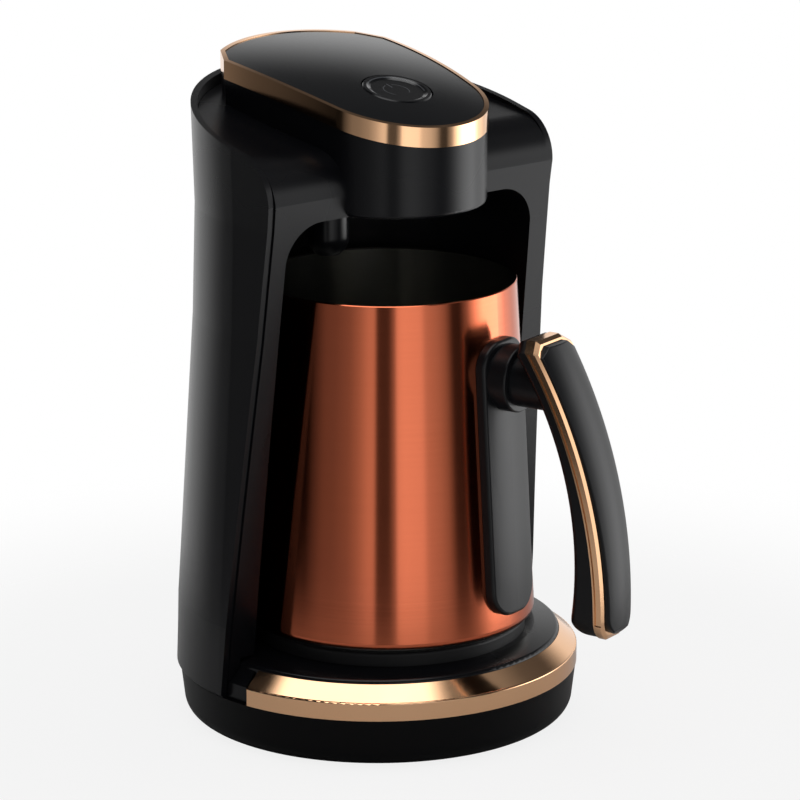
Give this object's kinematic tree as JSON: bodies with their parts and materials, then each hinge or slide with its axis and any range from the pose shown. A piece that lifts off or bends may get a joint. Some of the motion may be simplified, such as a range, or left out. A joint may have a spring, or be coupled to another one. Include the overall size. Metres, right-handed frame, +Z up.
{
  "type": "electric turkish coffee maker",
  "caption": "Countertop coffee maker: a hooded tower with a start button on its head, over a hot plate and a tapered copper-coloured pot with a curved side grip.",
  "frame": {"origin": "centre of the bounding box, on the surface that the feet stand on", "axes": "+Z up, -Y the front that the pot comes out of, +X the object's left seen from behind (right seen from the front)"},
  "size_m": [0.1476, 0.1762, 0.2421],
  "materials": {
    "black_satin": "satin moulded black",
    "black_gloss": "glossy moulded black",
    "rose_gold": "brushed plated rose gold",
    "copper_steel": "copper-coloured lacquer over brushed steel",
    "plate_black": "black-coated cast plate",
    "sole_steel": "turned aluminium disc",
    "rubber_black": "soft black rubber",
    "zinc_steel": "zinc-plated steel",
    "board_green": "coated circuit board",
    "part_grey": "moulded grey component",
    "lens_smoke": "clear smoked window"
  },
  "bodies": {
    "machine": {"base_shell": "black_satin", "rubber_feet": "rubber_black", "deck": "black_satin", "trim_ring": "rose_gold", "base_screws": "zinc_steel", "hot_plate": "plate_black", "plate_clamp": "zinc_steel", "heating_element": "zinc_steel", "thermostat": "part_grey", "power_board": "board_green", "relay": "part_grey", "terminal_block": "part_grey", "cord_gland": "rubber_black", "outer_shell": "black_gloss", "inner_fascia": "black_satin", "head_housing": "black_satin", "head_trim": "rose_gold", "top_panel": "black_gloss", "start_switch": "part_grey", "control_board": "board_green", "board_screws": "zinc_steel", "buzzer": "part_grey", "foam_sensor": "black_satin", "sensor_lens": "lens_smoke", "ribbon_cable": "part_grey"},
    "start_key": {"start_button": "black_gloss", "switch_plunger": "part_grey"},
    "pot": {"pot_body": "copper_steel", "pot_sole": "sole_steel", "handle_bracket": "black_satin", "arm_collar": "black_satin", "handle_arm": "black_satin", "arm_stud": "zinc_steel", "arm_nut": "zinc_steel", "grip_inner": "black_satin", "grip_trim": "rose_gold", "grip_cover": "black_satin", "grip_screw": "zinc_steel", "screw_cap": "black_satin"}
  },
  "joints": [
    {"name": "start_press", "type": "slide", "parent": "machine", "child": "start_key", "axis": [0, 0.23, -0.9732], "range_m": [0, 0.001], "stiffness_N_per_m": 400, "springref_m": -0.002},
    {"name": "pot_draw", "type": "slide", "parent": "machine", "child": "pot", "axis": [0, -1, 0], "range_m": [0, 0.12]}
  ]
}
